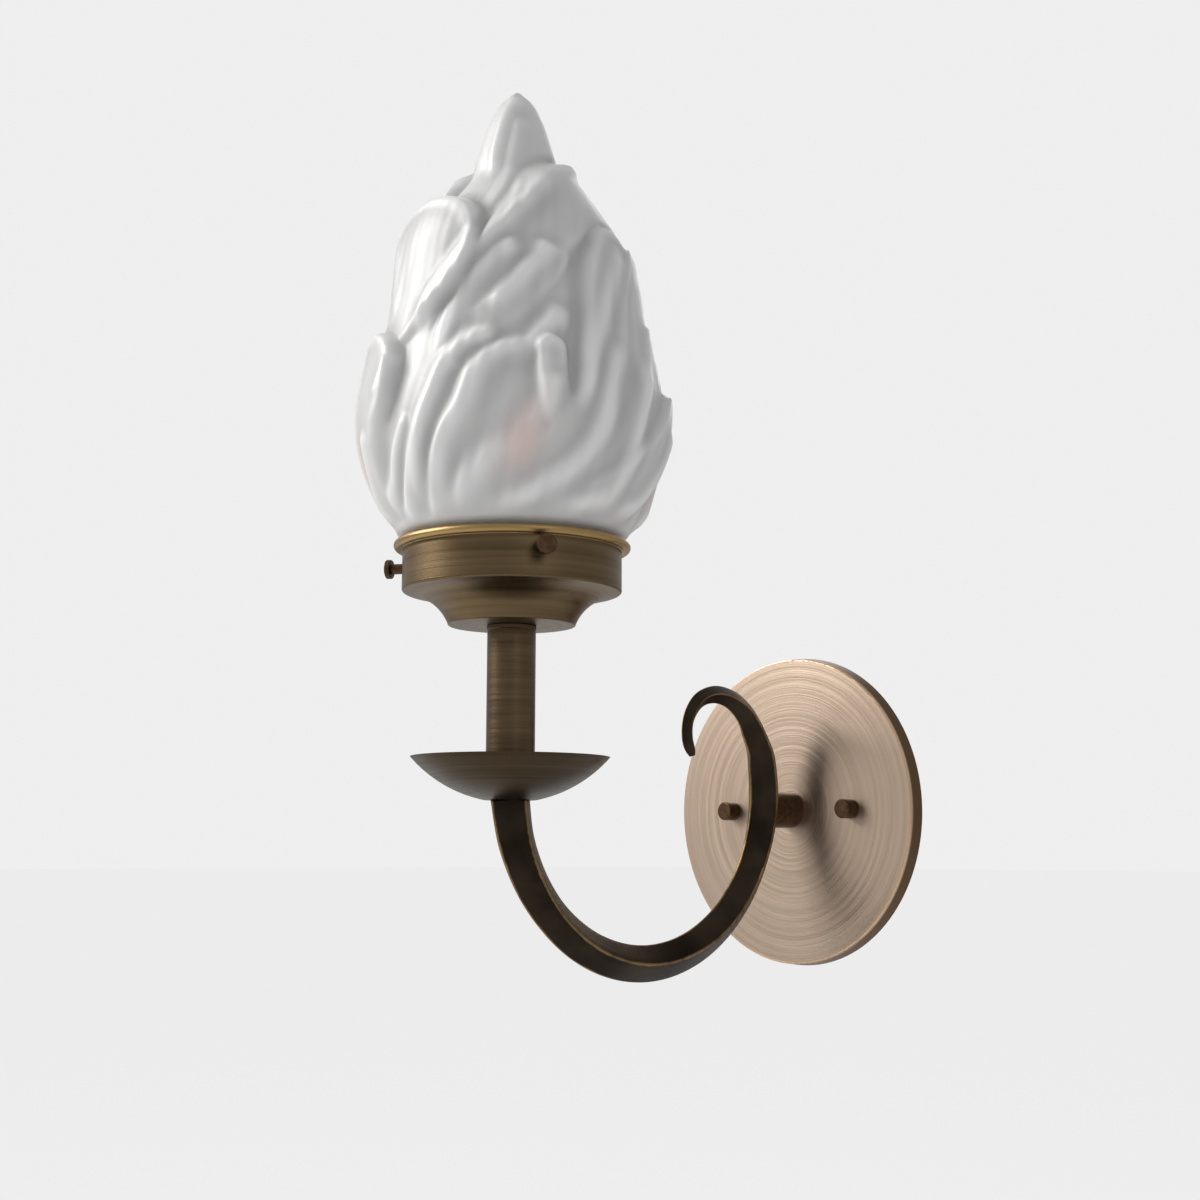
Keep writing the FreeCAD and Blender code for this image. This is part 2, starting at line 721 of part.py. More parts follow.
# Each tongue: its middle line from the root to the centre of its round tip, as (turn about the torch
# from the room side towards +X, height); half its width; how far it stands out at its root and at its
# tip; how late it rises; how wide its left and its right edge are; and the turn at which it comes again.
tongues = {
    "left_low": ([(-36, 106), (-36, 130), (-30, 148), (-23, 159)], 22.0, 2.0, 7.4, 1, 8.0, 13.0, 205),
    "left_high": ([(-50, 160), (-32, 182), (-14, 199), (-2, 208)], 26.0, 2.0, 11.0, 2, 8.0, 9.0, 205),
    "right_low": ([(84, 104), (104, 116), (124, 134), (133, 147)], 13.0, 1.5, 7.0, 1, 8.0, 7.0, 170),
    "right_second": ([(80, 108), (98, 124), (108, 146), (122, 168), (127, 176)], 11.0, 1.0, 5.5, 1, 8.0, 7.0, 170),
    "right_third": ([(66, 108), (86, 126), (96, 152), (112, 184), (126, 207)], 12.0, 1.0, 7.0, 1, 8.0, 7.0, 170),
    "right_inner": ([(58, 116), (80, 142), (88, 170), (97, 200), (104, 213)], 10.0, 1.0, 6.5, 1, 8.0, 7.0, 170),
    "right_top": ([(28, 184), (50, 206), (76, 226), (98, 238), (118, 246)], 13.0, 1.0, 8.0, 1, 9.0, 8.0, 170),
    "finger": ([(70, 122), (69, 134), (66, 150), (65, 165)], 5.6, 1.0, 4.2, 1, 8.0, 7.0, 176),
    "leaf": ([(36, 174), (50, 187), (62, 198), (67, 205)], 8.0, 0.5, 3.0, 1, 8.0, 7.0, 176),
}

# Each crest: the line of a rolled edge, its height, its width to the left and to the right of the line
# and the turn at which it comes again.
crests = {
    "spire_left": ([(24, 243), (20, 256), (22, 266), (30, 277), (52, 286)], 1.8, 5.0, 5.0, 176),
    "sash": ([(6, 174), (12, 187), (26, 201), (42, 216), (56, 229), (76, 248)], 3.6, 5.0, 5.0, 176),
    "sash_low": ([(20, 162), (20, 176), (27, 192), (40, 203), (52, 212)], 2.8, 5.0, 5.0, 176),
    "heart": ([(4, 108), (10, 130), (19, 150), (24, 162), (33, 170), (46, 171)], 4.2, 5.0, 5.0, 176),
    "belly": ([(13, 104), (19, 126), (30, 144), (36, 158), (44, 165), (56, 168), (70, 187)], 3.6, 5.0, 5.5, 176),
    "finger": ([(18, 104), (41, 124), (54, 132), (62, 144), (63, 158)], 2.6, 5.0, 5.0, 176),
    "fold_low": ([(40, 104), (60, 113), (77, 124), (85, 137), (87, 156), (96, 174)], 2.4, 5.0, 5.0, 176),
    "fold_high": ([(76, 140), (80, 162), (88, 182), (97, 198), (108, 216)], 2.4, 5.0, 5.0, 176),
    "flute_middle": ([(-14, 108), (-2, 130), (7, 143)], 2.2, 5.0, 5.0, 176),
    "flute_right": ([(-7, 102), (4, 120), (16, 142)], 2.8, 5.0, 5.0, 176),
}
curve_steps = 5                # straight steps between two given points of a line
neck_run = 9.0                 # height over which the folds grow out of the neck


def smooth(share):
    share = min(1.0, max(0.0, share))
    return share * share * (3.0 - 2.0 * share)


def valley_radius(height):
    """Smooth curve through the valley's points."""
    last = len(valley) - 1
    k = 0
    while k < last - 1 and height > valley[k + 1][0]:
        k += 1
    slopes = []
    for i in (k, k + 1):
        before = valley[max(i - 1, 0)]
        after = valley[min(i + 1, last)]
        slopes.append((after[1] - before[1]) / (after[0] - before[0]))
    span = valley[k + 1][0] - valley[k][0]
    t = (height - valley[k][0]) / span
    start = (1.0 + 2.0 * t) * (1.0 - t) ** 2 * valley[k][1] + span * slopes[0] * t * (1.0 - t) ** 2
    end = t * t * (3.0 - 2.0 * t) * valley[k + 1][1] - span * slopes[1] * t * t * (1.0 - t)
    return start + end


def smooth_line(points):
    """Points of a smooth line through the given ones."""
    first = (2 * points[0][0] - points[1][0], 2 * points[0][1] - points[1][1])
    last = (2 * points[-1][0] - points[-2][0], 2 * points[-1][1] - points[-2][1])
    given = [first] + points + [last]
    line = []
    for a, b, c, d in zip(given[:-3], given[1:-2], given[2:-1], given[3:]):
        for step in range(curve_steps):
            t = step / curve_steps
            place = []
            for i in (0, 1):
                bend = 2 * a[i] - 5 * b[i] + 4 * c[i] - d[i]
                curl = 3 * b[i] - a[i] - 3 * c[i] + d[i]
                place.append(0.5 * (2 * b[i] + (c[i] - a[i]) * t + bend * t * t + curl * t ** 3))
            line.append(tuple(place))
    line.append(points[-1])
    return line


def nearest(line, turn, angle, height, radius, reach):
    """Distance to a line on the unrolled flame, the side on which the place lies (1 is left, -1 is
    right) and the share of the line's length at its nearest point.  None if it is out of reach."""
    if height < line[0][1] - reach or height > max(z for _, z in line) + reach:
        return None
    best = None
    steps = len(line) - 1
    for k in range(steps):
        off = (angle - line[k][0] - turn + 180.0) % 360.0 - 180.0
        across = math.radians(off) * radius
        if abs(across) > 3.0 * reach:
            continue
        rise = height - line[k][1]
        run_across = math.radians(line[k + 1][0] - line[k][0]) * radius
        run_up = line[k + 1][1] - line[k][1]
        t = (across * run_across + rise * run_up) / (run_across ** 2 + run_up ** 2)
        t = min(1.0, max(0.0, t))
        gap_across = across - t * run_across
        gap_up = rise - t * run_up
        distance = math.hypot(gap_across, gap_up)
        if best is None or distance < best[0]:
            lean = (run_across * gap_up - run_up * gap_across) / math.hypot(run_across, run_up)
            best = (distance, lean, (k + t) / steps)
    if best is None or best[0] > reach:
        return None
    side = min(1.0, max(-1.0, best[1] / max(best[0], 0.5)))
    return best[0], side, best[2]


def tongue_lift(shape, line, turn, angle, height, radius):
    points, half_width, root, tip, late, left_run, right_run, again = shape
    place = nearest(line, turn, angle, height, radius, half_width + 7.0)
    if place is None:
        return 0.0
    distance, side, share = place
    run = 0.5 * (left_run + right_run) + 0.5 * side * (left_run - right_run)
    run += (4.0 - run) * smooth(5.0 * share - 4.0)
    top = points[-1][1] + half_width
    climbed = min(1.0, max(0.0, (height - points[0][1]) / (top - points[0][1])))
    lift = root + (tip - root) * climbed ** late
    return lift * smooth((half_width - distance) / run + 0.5) * smooth(6.0 * share + 0.15)


def crest_lift(shape, line, turn, angle, height, radius):
    points, high, left, right, again = shape
    place = nearest(line, turn, angle, height, radius, 14.0)
    if place is None:
        return 0.0
    distance, side, share = place
    width = left if side > 0.0 else right
    fade = smooth(min(5.0 * share + 0.15, 7.0 * (1.0 - share) + 0.1))
    return high * fade * math.exp(-(distance / width) ** 2)


tongue_lines = {name: smooth_line(shape[0]) for name, shape in tongues.items()}
crest_lines = {name: smooth_line(shape[0]) for name, shape in crests.items()}


def flame_radius(angle, height):
    """Radius of the folded glass: what stands out most covers what lies behind it."""
    base = valley_radius(height)
    stand = 0.0
    for name, shape in tongues.items():
        for turn in (0, shape[-1]):
            stand += tongue_lift(shape, tongue_lines[name], turn, angle, height, base) ** 4
    crest = 0.0
    for name, shape in crests.items():
        for turn in (0, shape[-1]):
            crest += crest_lift(shape, crest_lines[name], turn, angle, height, base) ** 3
    grown = smooth((height - flame_base) / neck_run)
    return base + (stand ** 0.25 + crest ** (1.0 / 3.0)) * grown


flame_columns = 60
flame_rows = 40


def flame_outside():
    """Closed solid bounded by one smooth surface through the folded outside of the flame."""
    heights = [flame_base + (flame_top - flame_base) * row / flame_rows for row in range(flame_rows + 1)]
    heights[1] = flame_base + 1.5
    poles = []
    for column in range(flame_columns):
        turn = 2.0 * math.pi * column / flame_columns
        line = []
        for height in heights:
            radius = flame_radius(math.degrees(turn), height)
            line.append(vec(radius * math.sin(turn), -torch_reach - radius * math.cos(turn), height))
        poles.append(line)
    surface = Part.BSplineSurface()
    surface.buildFromPolesMultsKnots(
        poles,
        [1] * (flame_columns + 1),
        [4] + [1] * (flame_rows - 3) + [4],
        list(range(flame_columns + 1)),
        list(range(flame_rows - 1)),
        True, False, 3, 3)
    side = surface.toShape()
    caps = []
    for edge in side.Edges:
        if edge.BoundBox.ZLength < 0.01:
            caps.append(Part.Face(Part.Wire([edge])))
    shell = Part.makeShell([side] + caps)
    shell.sewShape()
    return Part.makeSolid(shell)


def shade_neck():
    """Rolled lip and neck under the flame."""
    lip_top = shade_bottom + 4.6
    return turned([
        (neck_inside, shade_bottom + 0.8),
        (neck_inside + 0.2, shade_bottom + 0.2, neck_inside + 0.8, shade_bottom),
        (lip_radius - 1.2, shade_bottom),
        (lip_radius - 0.3, shade_bottom + 0.3, lip_radius, shade_bottom + 1.2),
        (lip_radius, lip_top - 1.2),
        (lip_radius - 0.5, lip_top - 0.2, lip_radius - 1.6, lip_top),
        (neck_radius + 0.2, lip_top + 0.8, neck_radius, lip_top + 2.4),
        (neck_radius, flame_base - 4.6),
        (neck_radius + 1.0, flame_base - 2.0, lip_radius + 0.45, flame_base - 0.15),
        (lip_radius + 0.45, flame_base + 1.0),
        (neck_inside, flame_base + 1.0),
    ])


def shade_inside():
    """Hollow of the shade: the neck's bore, widening under the folds and closing under the tip."""
    wall = 3.0
    outline = [(0.0, shade_bottom - 1.0), (neck_inside, shade_bottom - 1.0), (neck_inside, flame_base - 2.0)]
    points = [vec(neck_inside, -torch_reach, flame_base - 2.0)]
    for height, radius in valley[2:-4]:
        points.append(vec(radius - wall, -torch_reach, height))
    points.append(vec(7.6, -torch_reach, 270.0))
    points.append(vec(0.0, -torch_reach, 277.0))
    curve = Part.BSplineCurve()
    curve.interpolate(points)
    foot = [vec(r, -torch_reach, z) for r, z in outline]
    edges = [
        Part.LineSegment(foot[0], foot[1]).toShape(),
        Part.LineSegment(foot[1], foot[2]).toShape(),
        curve.toShape(),
        Part.LineSegment(points[-1], foot[0]).toShape(),
    ]
    return Part.Face(Part.Wire(edges)).revolve(torch_axis, up, 360.0)


def flame_shade():
    return flame_outside().fuse(shade_neck()).cut(shade_inside())


# ---- everything ---------------------------------------------------------------------------------
save("wall_plate", wall_plate())
save("mounting_ring", mounting_ring())
save("plate_studs", plate_studs())
save("ground_screw", ground_screw())
save("knob_left", plate_knob(-1))
save("knob_right", plate_knob(1))
save("scroll_arm", scroll_arm())
save("arm_post", arm_post())
save("post_nipple", post_nipple())
save("post_washer", post_washer())
save("post_nut", post_nut())
save("drip_dish", drip_dish())
save("stem_tube", stem_tube())
save("stem_rod", stem_rod())
save("stem_collar", stem_collar())
save("gallery", gallery())
for place, angle in screw_angles.items():
    save("thumb_screw_" + place, thumb_screw(angle))
save("gallery_washer", gallery_washer())
save("gallery_nut", gallery_nut())
save("socket_hickey", socket_hickey())
save("socket_body", socket_body())
save("socket_screws", socket_screws())
save("socket_shell", socket_shell())
save("socket_contact", socket_contact())
save("lamp_cap", lamp_cap())
save("lamp_insulator", lamp_insulator())
save("lamp_contact", lamp_contact())
save("lamp_glass", lamp_glass())
save("lamp_stem", lamp_stem())
save("lamp_filaments", lamp_filaments())
save("lamp_wires", lamp_wires())
save("flame_shade", flame_shade())
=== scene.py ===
import bmesh
import bpy
import math
import numpy as np
from mathutils import Matrix, Vector


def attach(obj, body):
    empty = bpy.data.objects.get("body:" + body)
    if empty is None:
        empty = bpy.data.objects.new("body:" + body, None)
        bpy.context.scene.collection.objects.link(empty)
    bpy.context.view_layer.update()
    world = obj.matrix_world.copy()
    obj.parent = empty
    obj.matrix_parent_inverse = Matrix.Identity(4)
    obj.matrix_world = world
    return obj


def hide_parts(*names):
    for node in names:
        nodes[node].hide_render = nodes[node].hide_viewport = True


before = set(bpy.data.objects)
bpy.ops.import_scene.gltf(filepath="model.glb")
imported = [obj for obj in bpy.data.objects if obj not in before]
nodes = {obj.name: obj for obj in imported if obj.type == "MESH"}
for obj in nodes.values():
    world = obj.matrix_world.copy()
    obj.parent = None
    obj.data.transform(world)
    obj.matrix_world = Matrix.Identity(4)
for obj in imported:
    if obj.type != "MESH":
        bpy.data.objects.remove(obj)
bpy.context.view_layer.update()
torchReach = 0.1685  # wall to the torch's middle line, the same as in the CAD
print("frame loaded:", len(nodes), "nodes")


# nodes written as expressions
class Strand:
    # one output socket, with the arithmetic that the materials and the node tools use
    def __init__(self, tree, socket=None):
        self.tree = tree
        self.socket = socket

    def make(self, kind, settings=None, feeds=None, out=0):
        node = self.tree.nodes.new(kind)
        for name, value in (settings or {}).items():
            if name == "stops":
                ramp = node.color_ramp
                while len(ramp.elements) < len(value):
                    ramp.elements.new(0.5)
                for element, (place, colour) in zip(ramp.elements, value):
                    element.position = place
                    element.color = (*colour, 1.0)
            else:
                setattr(node, name, value)
        for name, value in (feeds or {}).items():
            socket = node.inputs[name]
            for one in value if isinstance(value, list) else [value]:
                if isinstance(one, Strand):
                    self.tree.links.new(one.socket, socket)
                elif socket.type == "RGBA" and len(one) == 3:
                    socket.default_value = (*one, 1.0)
                else:
                    socket.default_value = one
        return Strand(self.tree, node.outputs[out] if len(node.outputs) else None)

    def maths(self, operation, *values):
        return self.make("ShaderNodeMath", {"operation": operation}, dict(enumerate(values)))

    def __add__(self, other):
        return self.maths("ADD", self, other)

    def __radd__(self, other):
        return self.maths("ADD", other, self)

    def __sub__(self, other):
        return self.maths("SUBTRACT", self, other)

    def __rsub__(self, other):
        return self.maths("SUBTRACT", other, self)

    def __mul__(self, other):
        return self.maths("MULTIPLY", self, other)

    def __truediv__(self, other):
        return self.maths("DIVIDE", self, other)

    def __pow__(self, other):
        return self.maths("POWER", self, other)

    def clipped(self):
        return self.make("ShaderNodeClamp", None, {"Value": self})

    def stepUp(self, low, high):  # 0 below low, 1 above high, smooth between
        feeds = {"Value": self, "From Min": low, "From Max": high}
        return self.make("ShaderNodeMapRange", {"interpolation_type": "SMOOTHSTEP"}, feeds)

    def ramp(self, *stops):
        return self.make("ShaderNodeValToRGB", {"stops": stops}, {"Fac": self})

    def blend(self, first, second):  # colours, self is the share of the second
        return self.make("ShaderNodeMix", {"data_type": "RGBA"}, {"Factor": self, 6: first, 7: second}, 2)

    def parts(self):
        node = self.make("ShaderNodeSeparateXYZ", None, {"Vector": self}).socket.node
        return [Strand(self.tree, socket) for socket in node.outputs]

    def joined(self, x, y, z):
        return self.make("ShaderNodeCombineXYZ", None, {"X": x, "Y": y, "Z": z})

    def noise(self, scale, detail=2.0, roughness=0.5):
        feeds = {"Vector": self, "Scale": scale, "Detail": detail, "Roughness": roughness}
        return self.make("ShaderNodeTexNoise", None, feeds)


def newFinish(name, **constants):
    # a material with one Principled shader; returns it, a Strand to build from and a function that plugs in
    material = bpy.data.materials.new(name)
    material.use_nodes = True
    tree = material.node_tree
    shader = next(node for node in tree.nodes if node.type == "BSDF_PRINCIPLED")
    for socket, value in constants.items():
        shader.inputs[socket.replace("_", " ")].default_value = value

    def plug(**feeds):
        for socket, strand in feeds.items():
            tree.links.new(strand.socket, shader.inputs[socket.replace("_", " ")])

    start = Strand(tree)
    place = start.make("ShaderNodeTexCoord", None, None, 3)
    return material, place, plug


def bump(height, strength, distance):
    feeds = {"Height": height, "Strength": strength, "Distance": distance}
    return height.make("ShaderNodeBump", None, feeds)


# camera
cameraSetup = {
    "place": (0.52756, -0.59980, -0.01960),
    "azimuth": 47.823,
    "pitch": 8.25,
    "roll": 0.177,
    "lens": 52.5,
    "sensor": 36.0,
}


def setCamera(setup):
    azimuth, pitch, roll = (math.radians(setup[key]) for key in ("azimuth", "pitch", "roll"))
    level = math.cos(pitch)
    forward = Vector((-math.sin(azimuth) * level, math.cos(azimuth) * level, math.sin(pitch)))
    right = Vector((math.cos(azimuth), math.sin(azimuth), 0.0))
    upward = right.cross(forward)
    turnedRight = right * math.cos(roll) + upward * math.sin(roll)
    turnedUp = upward * math.cos(roll) - right * math.sin(roll)
    data = bpy.data.cameras.new("photoCamera")
    data.lens = setup["lens"]
    data.sensor_width = setup["sensor"]
    data.clip_start = 0.01
    camera = bpy.data.objects.new("photoCamera", data)
    turn = Matrix((turnedRight, turnedUp, -forward)).transposed().to_4x4()
    camera.matrix_world = Matrix.Translation(setup["place"]) @ turn
    bpy.context.scene.collection.objects.link(camera)
    bpy.context.scene.camera = camera
    bpy.context.scene.view_settings.view_transform = "Standard"


setCamera(cameraSetup)

# floor, world and lamps
studio = {
    "floorHeight": -0.42,
    "floorSize": 80.0,
    "floorColour": (0.88, 0.88, 0.88),
    "shownColour": (0.86, 0.86, 0.86),  # what the camera sees of the floor and the world
    "shownShare": 0.95,  # of it in the floor
    "fill": (0.50, 0.50, 0.50),  # what lights the piece and shows in its metal
    "aim": (0.0, -0.12, 0.11),
    "lamps": [  # place, size, power, colour
        ("keyLamp", (-1.0, -1.15, 0.95), 0.9, 24.0, (1.0, 0.99, 0.97)),
        ("sideLamp", (1.5, -0.5, 0.75), 0.7, 1.6, (1.0, 1.0, 1.0)),
        ("backLamp", (-0.9, 0.9, 0.9), 0.9, 5.0, (0.98, 0.99, 1.0)),
    ],
}


def setStudio(setup):
    mesh = bpy.data.meshes.new("studioFloor")
    half, height = setup["floorSize"] / 2, setup["floorHeight"]
    corners = [(-half, -half, height), (half, -half, height), (half, half, height), (-half, half, height)]
    mesh.from_pydata(corners, [], [(0, 1, 2, 3)])
    floor = bpy.data.objects.new("studioFloor", mesh)
    bpy.context.scene.collection.objects.link(floor)
    paint, place, plug = newFinish("floorPaint", Roughness=0.9)
    tint = place.noise(1.2, 1.0)
    plug(Base_Color=tint.blend(setup["floorColour"], tuple(c * 0.97 for c in setup["floorColour"])))
    shadeless = tint.make("ShaderNodeEmission", None, {"Color": setup["shownColour"]})
    plain = next(node for node in paint.node_tree.nodes if node.type == "BSDF_PRINCIPLED")
    rays = tint.make("ShaderNodeLightPath").socket.node
    seen = Strand(paint.node_tree, rays.outputs["Is Camera Ray"])
    seen = (seen + Strand(paint.node_tree, rays.outputs["Is Transmission Ray"])).clipped()
    seen = seen * setup["shownShare"]
    shaded = Strand(paint.node_tree, plain.outputs[0])
    both = tint.make("ShaderNodeMixShader", None, {0: seen, 1: shaded, 2: shadeless})
    surface = next(node for node in paint.node_tree.nodes if node.type == "OUTPUT_MATERIAL")
    paint.node_tree.links.new(both.socket, surface.inputs["Surface"])
    mesh.materials.append(paint)

    world = bpy.data.worlds.new("studioWorld")
    bpy.context.scene.world = world
    world.use_nodes = True
    tree = world.node_tree
    sky = next(node for node in tree.nodes if node.type == "BACKGROUND")
    rays = Strand(tree).make("ShaderNodeLightPath").socket.node
    shown = Strand(tree, rays.outputs["Is Camera Ray"])
    shown = (shown + Strand(tree, rays.outputs["Is Transmission Ray"])).clipped()
    colour = shown.blend(setup["fill"], setup["shownColour"])
    tree.links.new(colour.socket, sky.inputs["Color"])
    sky.inputs["Strength"].default_value = 1.0

    for name, spot, size, power, tint in setup["lamps"]:
        data = bpy.data.lights.new(name, "AREA")
        data.size = size
        data.energy = power
        data.color = tint
        lamp = bpy.data.objects.new(name, data)
        aim = Vector(setup["aim"]) - Vector(spot)
        lamp.matrix_world = Matrix.Translation(spot) @ aim.to_track_quat("-Z", "Y").to_matrix().to_4x4()
        bpy.context.scene.collection.objects.link(lamp)


setStudio(studio)
print("camera and studio ready")


# small mesh helpers
def newPiece(name, points, faces, body, finish, stands):
    mesh = bpy.data.meshes.new(name)
    mesh.from_pydata(points, [], faces)
    mesh.polygons.foreach_set("use_smooth", [True] * len(mesh.polygons))
    mesh.materials.append(finish)
    piece = bpy.data.objects.new(name, mesh)
    bpy.context.scene.collection.objects.link(piece)
    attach(piece, body)
    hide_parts(*stands)
    return piece


def smoothStep(share):
    share = np.clip(share, 0.0, 1.0)
    return share * share * (3.0 - 2.0 * share)


def softLine(points, steps=7):
    # smooth line through the given points
    given = np.array(points, float)
    given = np.vstack([2 * given[0] - given[1], given, 2 * given[-1] - given[-2]])
    line = []
    for a, b, c, d in zip(given[:-3], given[1:-2], given[2:-1], given[3:]):
        for step in range(steps):
            t = step / steps
            line.append(0.5 * (2 * b + (c - a) * t + (2 * a - 5 * b + 4 * c - d) * t * t
                               + (3 * b - a - 3 * c + d) * t ** 3))
    return np.array(line + [given[-2]])


# flame glass
# millimetres and degrees; an angle of 0 faces the room and 90 is towards +X
flameShape = {
    "columns": 320,
    "rows": 220,
    "base": 101.7,
    "top": 288.6,
    "wall": 3.0,
    "neckRun": 9.0,  # height over which the folds grow out of the neck
    "rimShare": 0.6,
    "crestShare": 0.82,
    "crestWidth": 1.12,
    "strands": 0.16,
    "edgeLift": 1.2,  # how far an edge stands out where the glass turns milky and takes a painted highlight
    "thinGrey": 0.045,  # how much greyer the glass is for each millimetre that a tongue is blown out
    "lights": (54, 144, 234, 324),
    "lightHeight": 131.0,
    "valley": [  # height, radius between the folds
        (101.7, 41.6), (103.2, 44.2), (107, 46.6), (113, 49.6), (120, 52.2), (130, 55.0), (142, 57.0),
        (155, 56.6), (165, 54.2), (180, 50.0), (192, 46.6), (205, 43.8), (218, 40.0), (228, 34.5),
        (236, 28.5), (243, 23), (249, 18.6), (257, 16.6), (266, 14.0), (276, 10.6), (284, 6.2), (288.6, 1.2)],
    "neck": [  # radius, height: down the neck, round the lip and up its inside
        (41.55, 101.6), (40.1, 99.7), (38.6, 98.2), (38.0, 97.1), (38.0, 93.0), (38.0, 90.3), (38.2, 89.0),
        (39.65, 87.9), (40.75, 87.7), (41.25, 86.7), (41.25, 84.5), (41.0, 83.6), (40.05, 83.3),
        (38.0, 83.3), (36.7, 83.3), (36.1, 83.5), (35.9, 84.1), (35.9, 92.0), (35.9, 99.7)],
    "hollow": (107.0, 257.0, 60),  # heights between which the inside follows the valley, and its rings
    "hollowTop": [(10.6, 264.0), (7.6, 270.0), (5.2, 273.6), (2.6, 276.2), (0.8, 277.0)],
}
# tongues: middle line (angle, height), half width, lift at root and tip, how late it lifts, height of the
# rolled rim, width of the left and of the right edge, angle at which it comes again
flameTongues = {
    "leftLow": ([(-36, 106), (-36, 130), (-30, 148), (-23, 159)], 22, 2.0, 7.4, 1, 1.0, 3.5, 13, 205),
    "leftHigh": ([(-50, 160), (-32, 182), (-14, 199), (-2, 208)], 26, 2.0, 11.0, 2, 1.0, 3.0, 9, 205),
    "rightLow": ([(84, 104), (104, 116), (124, 134), (133, 147)], 13, 1.5, 7.0, 1, 0.8, 6, 3.5, 170),
    "rightSecond": ([(80, 108), (98, 124), (108, 146), (122, 168), (127, 176)],
                    11, 1.0, 5.5, 1, 0.8, 6, 3.0, 170),
    "rightThird": ([(66, 108), (86, 126), (96, 152), (112, 184), (126, 207)],
                   12, 1.0, 7.0, 1, 0.8, 7, 3.0, 170),
    "rightInner": ([(58, 116), (80, 142), (88, 170), (97, 200), (104, 213)],
                   10, 1.0, 6.5, 1, 0.8, 6, 3.0, 170),
    "rightTop": ([(28, 184), (50, 206), (76, 226), (98, 236), (124, 240)], 15, 1.0, 7.6, 1, 0.3, 9, 8.0, 170),
    "finger": ([(70, 122), (69, 134), (66, 150), (65, 165)], 5.6, 1.0, 4.2, 1, 0.0, 3.0, 2.2, 176),
    "leaf": ([(36, 174), (50, 187), (62, 198), (67, 205)], 8, 0.5, 3.0, 1, 0.0, 6, 2.2, 176),
}
# crests: line, height, width on its left and on its right, angle at which it comes again
flameCrests = {
    "spireLeft": ([(24, 243), (20, 256), (22, 266), (30, 277), (52, 286)], 1.8, 2.6, 4.5, 176),
    "spireRight": ([(31, 226), (38, 238), (45, 252), (52, 264), (56, 276)], 1.4, 3.0, 3.0, 176),
    "sashTop": ([(8, 178), (10, 190), (22, 203), (36, 216), (48, 230), (58, 246)], 2.2, 2.4, 2.4, 176),
    "sash": ([(6, 174), (12, 187), (26, 201), (42, 216), (56, 229), (76, 248)], 3.6, 3.6, 4.0, 176),
    "sashLow": ([(20, 162), (20, 176), (27, 192), (40, 203), (52, 212)], 2.8, 3.0, 4.5, 176),
    "leftEdge": ([(-12, 184), (-18, 197), (-20, 208), (-26, 220), (-30, 228)], 1.0, 3.0, 4.0, 205),
    "leafCrest": ([(38, 182), (48, 190), (55, 197), (62, 204), (66, 211)], 2.8, 3.0, 4.5, 176),
    "heartCrest": ([(4, 108), (10, 130), (19, 150), (24, 162), (33, 170), (46, 171)], 4.2, 3.6, 4.6, 176),
    "heartInner": ([(18, 131), (20, 145), (24, 156), (32, 160)], 1.8, 2.2, 2.6, 176),
    "bellyCrest": ([(13, 104), (19, 126), (30, 144), (36, 158), (44, 165), (56, 168), (66, 178), (70, 187)],
                   3.6, 3.0, 5.5, 176),
    "fingerLow": ([(18, 104), (41, 124), (54, 132), (62, 144), (63, 158)], 2.6, 5.0, 5.0, 176),
    "fingerCrest": ([(60, 150), (60, 158), (61, 166), (66, 171)], 1.6, 2.4, 3.6, 176),
    "foldLow": ([(40, 104), (60, 113), (77, 124), (85, 137), (87, 156), (96, 174)], 2.4, 4.0, 4.0, 176),
    "foldOuter": ([(70, 104), (92, 113), (100, 127), (104, 146), (112, 170)], 2.4, 4.0, 4.0, 176),
    "foldHigh": ([(76, 140), (80, 162), (88, 182), (97, 198), (108, 216)], 2.4, 3.5, 4.5, 176),
    "foldSide": ([(104, 106), (118, 116), (128, 130), (134, 146)], 1.8, 3.0, 3.5, 176),
    "lowEdge": ([(-26, 108), (-34, 126), (-30, 142), (-27, 156), (-30, 170)], 1.2, 2.4, 3.0, 205),
    "lowCrest": ([(-8, 152), (-5, 160), (-2, 168)], 1.4, 2.0, 2.4, 205),
    "fluteFirst": ([(12, 102), (17, 118), (23, 130)], 1.6, 2.2, 2.8, 176),
    "fluteSecond": ([(-7, 102), (4, 120), (16, 142)], 2.8, 2.8, 3.6, 176),
    "fluteThird": ([(-14, 108), (-2, 130), (7, 143)], 2.2, 2.4, 3.2, 176),
    "fluteFourth": ([(-32, 104), (-24, 122), (-20, 142)], 1.8, 2.6, 3.6, 176),
}


def valleyRadius(heights, valley):
    z, r = np.array(valley).T
    slope = np.gradient(r, z)
    k = np.clip(np.searchsorted(z, heights) - 1, 0, len(z) - 2)
    span = z[k + 1] - z[k]
    t = (heights - z[k]) / span
    return ((1 + 2 * t) * (1 - t) ** 2 * r[k] + t * t * (3 - 2 * t) * r[k + 1]
            + span * (slope[k] * t * (1 - t) ** 2 - slope[k + 1] * t * t * (1 - t)))


